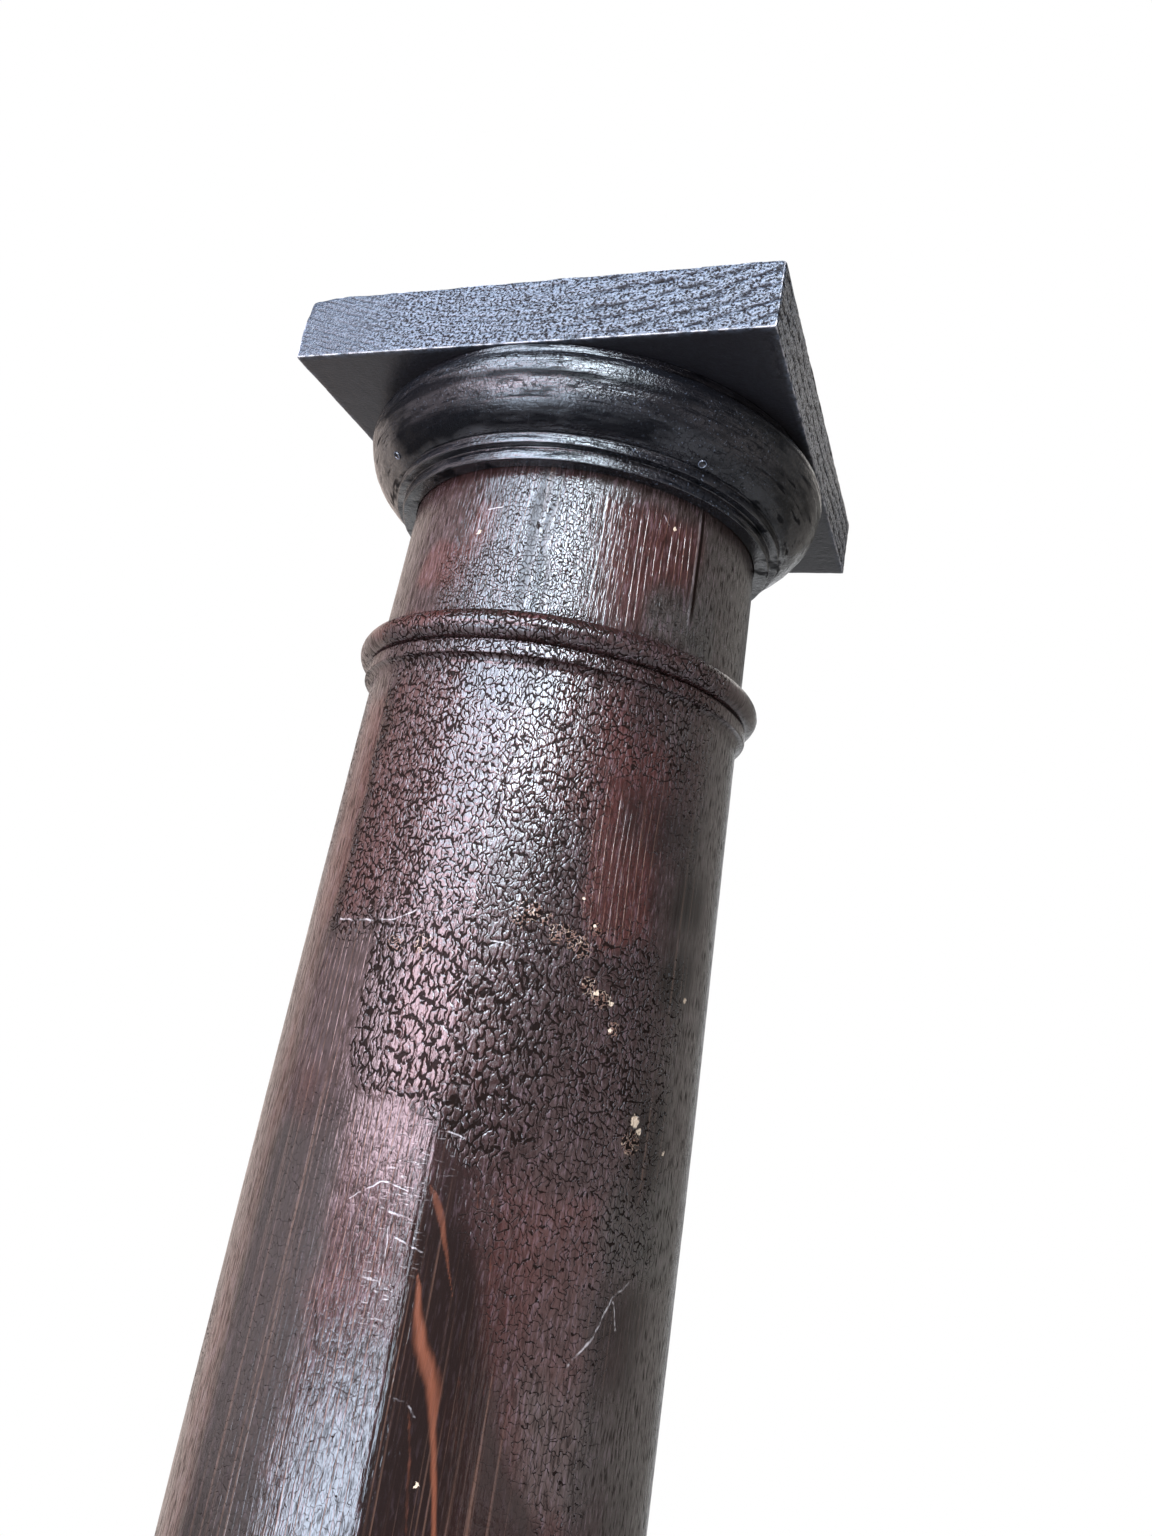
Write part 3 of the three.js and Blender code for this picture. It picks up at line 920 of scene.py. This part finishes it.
def board_finish(graph, colours, sheen):
    """Grey black varnish worn to the raised grain, paler along the edges, with painted sheen, glints and
    underside shade.
    """
    place, mask = graph.place(), graph.painted
    weather_and_sheen, edge = mask("weather_and_sheen"), mask("edge")
    arcs = board_rings(graph, 6.4 * MM) * (place.part(0).step(5 * MM, 40 * MM) * 0.85 + 0.15)
    fine_rings = board_rings(graph, 2.5 * MM)
    speckle = graph.noise(place.stretched(1, 1.5, 1.25), 820, 2, 0.65)
    cloud = graph.noise(place, 34, 3)
    grainy = place.part(0).step(-96 * MM, -50 * MM) * 0.65 + 0.35
    pits = (1 - speckle.step(0.41, 0.51)) * grainy
    worn_line = edge.step(0.6, 0.95) * graph.noise(place, 190, 3).step(0.38, 0.58)
    colour = graph.layered(
        colours.board,
        (cloud * 0.6, colours.ring),
        # Blue grey haze on all but the underside: grey bloom and painted sheen
        ((0.8 - fine_rings * 0.5) * weather_and_sheen, colours.haze_and_sheen),
        # Pale blue specks over the grain: painted glints
        ((speckle + cloud * 0.12).step(0.52, 0.7) * grainy * weather_and_sheen * 0.62, colours.edge),
        (edge * graph.noise(place, 300, 3).step(0.4, 0.62) * 0.5, colours.edge),
        (worn_line * 0.5, colours.scratch),
    )
    height = ((speckle - 0.5) * 0.55 - fine_rings * 0.1 - arcs * 0.25 + cloud * 0.2) * (weather_and_sheen * 0.8 + 0.2)
    sunken = joined((pits * 0.9, arcs * 0.9, fine_rings * 0.5)).at_least(0.2)
    # Painted shade and dirt in pits and grain lines, and painted shade all over the underside
    shade_and_dirt = sunken * weather_and_sheen * (1 - worn_line) + (1 - weather_and_sheen) * 0.4
    return colour, sheen + cloud * 0.12, height * MM, shade_and_dirt


# Properties


def length_property(name, description, default):
    return FloatProperty(name=name, description=description, default=default, unit="LENGTH", precision=5)


def colour_property(name, description, default):
    limits = {"subtype": "COLOR", "min": 0, "max": 1}
    return FloatVectorProperty(name=name, description=description, default=default, **limits)


class ColumnSizes(bpy.types.PropertyGroup):
    """Sizes of the relief that a user may change."""

    cupping: length_property("Cupping", "How far the staves' edges stand proud of the round", 1.2 * MM)
    board_step: length_property("Board mesh", "Spacing of the points over the boards", 1.7 * MM)


class ColumnColours(bpy.types.PropertyGroup):
    """Colours of the old varnish and of the wood under it."""

    brown: colour_property("Brown", "Varnish over most of the wood", (0.014, 0.0062, 0.0056))
    red: colour_property("Red", "Varnish where it has thinned to red", (0.028, 0.0074, 0.0058))
    # Olive is partly a painted reflection of the room
    olive_and_reflection: colour_property("Olive", "Dulled varnish", (0.026, 0.023, 0.019))
    # Black also colours the painted shade bands in the neck
    black: colour_property("Black", "Cracks and old dirt", (0.0025, 0.0015, 0.0012))
    rib: colour_property("Rib", "Worn lines of the grain", (0.13, 0.068, 0.045))
    streak: colour_property("Streak", "Streaks of bare orange wood", (0.085, 0.026, 0.0125))
    bare: colour_property("Bare wood", "Chips down to the wood", (0.36, 0.27, 0.19))
    scratch: colour_property("Scratch", "Pale scratches", (0.5, 0.46, 0.45))
    # Wear also serves as painted glints on the grain's high spots
    wear: colour_property("Wear", "High spots of the grain", (0.085, 0.056, 0.064))
    # Edge also colours painted glints on the boards and the ring, and the painted highlight on plug lips
    edge: colour_property("Edge", "Worn edges of the boards", (0.115, 0.138, 0.175))
    ring: colour_property("Ring", "Near black varnish of the capital ring", (0.0045, 0.0045, 0.0055))
    board: colour_property("Board", "Grey black of the square boards", (0.012, 0.012, 0.014))
    # Haze is grey bloom and a painted blue sheen
    haze_and_sheen: colour_property("Haze", "Grey worn high spots of the boards", (0.016, 0.022, 0.034))


class StudioSettings(bpy.types.PropertyGroup):
    """Light and floor."""

    window: FloatProperty(name="Window", description="Brightness of the main soft light", default=20)
    room: FloatProperty(name="Room", description="Brightness of the pale room in front", default=1.5)
    wall: FloatProperty(name="Wall", description="Brightness of the warm side light", default=0.95)
    surround: FloatProperty(name="Surround", description="Strength of the even light", default=0.25)
    floor: colour_property("Floor", "Plain pale floor", (0.62, 0.61, 0.6))


# Operators


class COLUMN_OT_staves(bpy.types.Operator):
    """Build the eight staves with the neck, the astragal and the shaft turned on them"""

    bl_idname = "column.staves"
    bl_label = "Staves"

    def execute(self, context):
        material = finish_material("shaft_varnish", stave_finish, context.scene.column_colours, 0.11, 0.55)
        for index in range(STAVE_COUNT):
            piece = stave_piece(index, context.scene.column_sizes)
            carve(piece, stave_relief)
            dress(piece, material, "stave", f"stave_{index + 1}")
        return {"FINISHED"}


def points_of(piece):
    return np.array([vertex.co for vertex in piece.data.vertices])


def round_axis(piece):
    """How far each point of a ring is from the axis, its direction in degrees, and its height."""
    x, y, z = points_of(piece).T
    return np.hypot(x, y), np.degrees(np.arctan2(y, x)), z


class COLUMN_OT_capital_ring(bpy.types.Operator):
    """Build the turned ring under the top board"""

    bl_idname = "column.capital_ring"
    bl_label = "Capital ring"

    def execute(self, context):
        outline = ring_outline(lambda drop: 0.8 * MM)
        in_bore = outline[:, 1] < NECK_FOOT + 1 * MM
        order = np.arange(len(outline))
        spare = in_bore & np.roll(in_bore, 1) & (order % 8 > 0) & (order < len(outline) - 1)
        piece = turned("capital_echinus", outline[~spare], 540)
        radius, theta, height = round_axis(piece)
        drop = (UNDER_BOARD - height) / MM
        masks = {name: patched(theta, drop, patches) for name, patches in RING_PATCHES.items()}
        masks["craze"] += 0.25
        masks["surface"] = rise(86 * MM, 89 * MM, radius) * rise(3, 6, drop)
        for name, values in masks.items():
            paint(piece, name, np.clip(values, 0, 1))
        carve(piece, ring_relief)
        colours = context.scene.column_colours
        material = finish_material("ring_varnish", ring_finish, colours, 0.05, 0.58, RING_DIRT_AND_SHADE)
        dress(piece, material, "capital_ring", "capital_ring")
        return {"FINISHED"}


# Nail plugs as their directions round the axis and round the ovolo in degrees, and their outline from the
# middle outwards as radius and lift in millimetres
NAIL_PLUGS = ((-133, -54), (-41, -62), (47, -58), (137, -57))
PLUG_OUTLINE = ((0, 0.1), (0.9, 0.08), (1.3, 0.2), (1.55, 0.45), (1.8, 0.45), (2.0, 0.1), (2.0, -0.7))
PLUG_LIP = 0.3
PLUG_SIDES = 24


class COLUMN_OT_nail_plugs(bpy.types.Operator):
    """Fill the four nail holes that hold the capital ring"""

    bl_idname = "column.nail_plugs"
    bl_label = "Nail plugs"

    def execute(self, context):
        for number, (angle, turn) in enumerate(NAIL_PLUGS):
            plug = nail_plug(f"nail_plug_{number + 1}", radians(angle), radians(turn))
            plug.data.materials.append(bpy.data.materials["ring_varnish"])
            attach(plug, "root")
        return {"FINISHED"}


def nail_plug(name, around, turn):
    """A filled nail hole: a small dished disc with a raised lip, set in the ovolo."""
    radius = OVOLO_REACH - OVOLO_RADIUS + OVOLO_RADIUS * cos(turn)
    height = UNDER_BOARD - OVOLO_DROP + OVOLO_RADIUS * sin(turn)
    centre = Vector((radius * cos(around), radius * sin(around), height))
    bpy.context.view_layer.update()
    found, centre, normal, face = bpy.data.objects["capital_echinus"].closest_point_on_mesh(centre)
    if not found:
        raise RuntimeError("the capital ring has no surface under a nail plug")
    angles = [2 * pi * i / PLUG_SIDES for i in range(PLUG_SIDES)]
    (start, dish), *rings = PLUG_OUTLINE
    points = [(start, start, dish)] + [(r * cos(a), r * sin(a), lift) for r, lift in rings for a in angles]
    faces = [[0, 1 + i, 1 + (i + 1) % PLUG_SIDES] for i in range(PLUG_SIDES)]
    faces += [[1 + i for i in face] for face in quads(len(rings), PLUG_SIDES)]
    faces.append(list(range(len(points) - PLUG_SIDES, len(points)))[::-1])
    place = Matrix.Translation(centre) @ normal.to_track_quat("Z", "Y").to_matrix().to_4x4()
    plug = mesh_piece(name, [place @ (Vector(point) * MM) for point in points], faces)
    # The raised lip is marked for a painted highlight
    paint(plug, "lip", [float(lift > PLUG_LIP) for x, y, lift in points])
    return plug


def dressed_board(node, low, high, step, easing, sheen):
    """A board with its worn edges and its weathered and painted sheen faces marked, its grain carved and
    its varnish on.
    """
    piece = board_piece(node + "_board", low, high, step, easing)
    points = points_of(piece)
    gaps = np.minimum(points - np.array(low), np.array(high) - points)
    paint(piece, "edge", 1 - rise(0, 2.6 * MM, np.sort(gaps, axis=1)[:, 1]))
    # All but the underside is weathered and gets the painted sheen; the underside gets painted shade
    paint(piece, "weather_and_sheen", rise(-0.2 * MM, 1.2 * MM, points[:, 2] - low[2]))
    carve(piece, board_relief)
    colours = bpy.context.scene.column_colours
    dress(piece, finish_material(node + "_varnish", board_finish, colours, sheen, 0.52), node, node)


class COLUMN_OT_abacus(bpy.types.Operator):
    """Build the square top board, with its raised grain, worn edges and one knocked corner"""

    bl_idname = "column.abacus"
    bl_label = "Abacus"

    def execute(self, context):
        def easing(local, half):
            x, y, z = local.T
            wear = np.sin(x * 310) + np.sin(y * 270 + 1) + np.sin(x * 173 + y * 211)
            eased = 0.6 + (0.4 + 0.4 * rise(0, 10 * MM, z)) * (1 + wear / 3)
            knocked = np.linalg.norm(local - half * np.array((-1, -1, 1)), axis=1)
            return (eased + 2.6 * (1 - rise(4 * MM, 16 * MM, knocked))) * MM

        step = context.scene.column_sizes.board_step
        dressed_board("abacus", ABACUS_LOW, ABACUS_HIGH, step, easing, 0.28)
        return {"FINISHED"}


class COLUMN_OT_base_ring(bpy.types.Operator):
    """Build the turned ring round the foot, plain and in keeping with the capital"""

    bl_idname = "column.base_ring"
    bl_label = "Base ring"

    def execute(self, context):
        ring = turned("base_torus", base_outline(lambda drop: 2.2 * MM), 240)
        radius, theta, height = round_axis(ring)
        paint(ring, "surface", rise(104 * MM, 108 * MM, radius) * rise(0, 4 * MM, height - PLINTH_HIGH.z))
        paint(ring, "craze", 0.35 + 0.35 * drift(theta, height / MM, 21, 60))
        paint(ring, "worn", 0.4 + 0.4 * drift(theta, height / MM, 22, 80))
        carve(ring, ring_relief)
        dress(ring, bpy.data.materials["ring_varnish"], "base_ring", "base_ring")
        return {"FINISHED"}


class COLUMN_OT_plinth(bpy.types.Operator):
    """Build the square plinth, plain and in keeping with the top board"""

    bl_idname = "column.plinth"
    bl_label = "Plinth"

    def execute(self, context):
        def easing(local, half):
            x, y, z = local.T
            return (1.8 + 0.8 * np.sin(x * 190 + 2) * np.sin(y * 170)) * MM

        dressed_board("plinth", PLINTH_LOW, PLINTH_HIGH, 3.4 * MM, easing, 0.32)
        return {"FINISHED"}


# The photograph's camera, fitted to the corners of the board and the outline of the shaft
CAMERA_PLACE = Vector((0.2035, -0.4693, 1.5269))
CAMERA_RIGHT = Vector((0.92916, 0.32828, 0.16998))
CAMERA_UP = Vector((-0.07645, -0.27924, 0.95717))
CAMERA_LENS, CAMERA_SENSOR = 26.71, 36

# The upright soft lights: name, direction from the axis in degrees, distance, foot and top, width, the
# brightness that drives each and how many times it, and colour. Lengths are in metres.
BRIGHT, SKY, BLUSH = (0.76, 0.88, 1.0), (0.68, 0.82, 1.0), (1.0, 0.79, 0.92)
LIGHTS = (
    ("window_right", -77, 2.5, 2.15, 3.8, 0.8, "window", 2.9, BRIGHT),
    ("window_left", -111, 2.5, 2.15, 3.9, 1.6, "window", 1.0, SKY),
    ("under_window", -110, 2.5, 1.3, 2.1, 1.5, "window", 0.88, BLUSH),
    ("low_window", -106, 2.0, 0.1, 0.95, 1.25, "window", 0.95, SKY),
    ("low_window_top", -94, 2.0, 0.97, 1.35, 0.45, "window", 0.6, BRIGHT),
    ("room_high", -70, 3.6, 1.6, 3.9, 5.0, "room", 1.0, (1.0, 0.88, 0.94)),
    ("room_left", -148, 3.6, 0.1, 3.7, 3.4, "room", 1.15, (1.0, 0.82, 0.88)),
    ("room_right", -12, 3.6, 0.1, 1.58, 4.4, "room", 0.75, (1.0, 0.86, 0.86)),
    ("warm_wall", 152, 2.6, 0.2, 3.2, 2.4, "wall", 0.82, (1.0, 0.8, 0.7)),
    ("side_window", 84, 2.6, 3.15, 3.95, 1.4, "wall", 1.8, (1.0, 0.95, 0.9)),
    ("back_wall", 108, 3.4, 0.1, 2.9, 2.6, "wall", 0.9, (0.97, 0.98, 1.0)),
    ("right_wall", 55, 2.8, 0.2, 3.9, 3.0, "wall", 0.3, (1.0, 0.89, 0.76)),
)
FLOOR_RADIUS, FLOOR_SIDES = 3, 96


def soft_light(name, azimuth, distance, low, high, width, radiance, colour):
    """An upright area light that faces the column."""
    light = bpy.data.lights.new(name, "AREA")
    light.shape = "RECTANGLE"
    light.size, light.size_y = width, high - low
    light.energy = radiance * pi * width * (high - low)
    light.color = colour
    lamp = placed(name, light)
    side = Vector((cos(radians(azimuth)), sin(radians(azimuth)), 0))
    lamp.location = side * distance + Vector((0, 0, (low + high) / 2))
    lamp.rotation_mode = "QUATERNION"
    lamp.rotation_quaternion = side.to_track_quat("Z", "Y")
    lamp.visible_camera = False


class COLUMN_OT_stage(bpy.types.Operator):
    """Set the floor, the soft studio light and the camera"""

    bl_idname = "column.stage"
    bl_label = "Stage"

    def execute(self, context):
        scene = context.scene
        studio = scene.column_studio
        around = np.arange(FLOOR_SIDES) * 2 * pi / FLOOR_SIDES
        rim = [(FLOOR_RADIUS * cos(a), FLOOR_RADIUS * sin(a), 0) for a in around]
        floor = mesh_piece("floor", rim, [list(range(FLOOR_SIDES))])
        paper = bpy.data.materials.new("pale_floor")
        graph = emptied(paper)
        shade = graph.noise(graph.place(), 0.8, 2)
        colour = graph.colour(shade, studio.floor, tuple(c * 0.94 for c in studio.floor))
        pale = graph.node("ShaderNodeBsdfPrincipled", {}, {"Base Color": colour, "Roughness": 0.8})
        graph.finish("ShaderNodeOutputMaterial", pale)
        floor.data.materials.append(paper)

        for *where, driver, times, colour in LIGHTS:
            soft_light(*where, getattr(studio, driver) * times, colour)

        scene.world = bpy.data.worlds.new("studio")
        graph = emptied(scene.world)
        values = {0: graph.node("ShaderNodeLightPath", out="Is Camera Ray")}
        for key, colour, strength in ((1, (0.93, 0.96, 1, 1), studio.surround), (2, (1, 1, 1, 1), 1.0)):
            values[key] = graph.node("ShaderNodeBackground", {}, {"Color": colour, "Strength": strength})
        graph.finish("ShaderNodeOutputWorld", graph.node("ShaderNodeMixShader", {}, values))

        view = bpy.data.cameras.new("photo_camera")
        view.lens, view.sensor_width = CAMERA_LENS, CAMERA_SENSOR
        view.clip_start, view.clip_end = 0.01, 100
        camera = placed("photo_camera", view)
        right, up = CAMERA_RIGHT.normalized(), CAMERA_UP.normalized()
        turn = Matrix((right, up, right.cross(up))).transposed().to_4x4()
        camera.matrix_world = Matrix.Translation(CAMERA_PLACE) @ turn
        scene.camera = camera
        scene.view_settings.view_transform = "Standard"
        return {"FINISHED"}


class COLUMN_PT_sidebar(bpy.types.Panel):
    """The column's settings and its steps"""

    bl_idname = "COLUMN_PT_sidebar"
    bl_label = "Round Wooden Column"
    bl_space_type = "VIEW_3D"
    bl_region_type = "UI"
    bl_category = "Column"

    def draw(self, context):
        scene = context.scene
        for group in (scene.column_sizes, scene.column_colours, scene.column_studio):
            box = self.layout.box()
            for name in group.__annotations__:
                box.prop(group, name)
        for operator in OPERATORS:
            self.layout.operator(operator.bl_idname)


OPERATORS = (
    COLUMN_OT_staves,
    COLUMN_OT_capital_ring,
    COLUMN_OT_nail_plugs,
    COLUMN_OT_abacus,
    COLUMN_OT_base_ring,
    COLUMN_OT_plinth,
    COLUMN_OT_stage,
)
GROUPS = {"column_sizes": ColumnSizes, "column_colours": ColumnColours, "column_studio": StudioSettings}
CLASSES = (*GROUPS.values(), *OPERATORS, COLUMN_PT_sidebar)


def register():
    for made in CLASSES:
        bpy.utils.register_class(made)
    for name, group in GROUPS.items():
        setattr(bpy.types.Scene, name, PointerProperty(type=group))


def unregister():
    for name in GROUPS:
        delattr(bpy.types.Scene, name)
    for made in reversed(CLASSES):
        bpy.utils.unregister_class(made)


def main():
    register()
    bpy.ops.column.staves()
    bpy.ops.column.capital_ring()
    bpy.ops.column.nail_plugs()
    bpy.ops.column.abacus()
    bpy.ops.column.base_ring()
    bpy.ops.column.plinth()
    bpy.ops.column.stage()


if __name__ == "__main__":
    main()
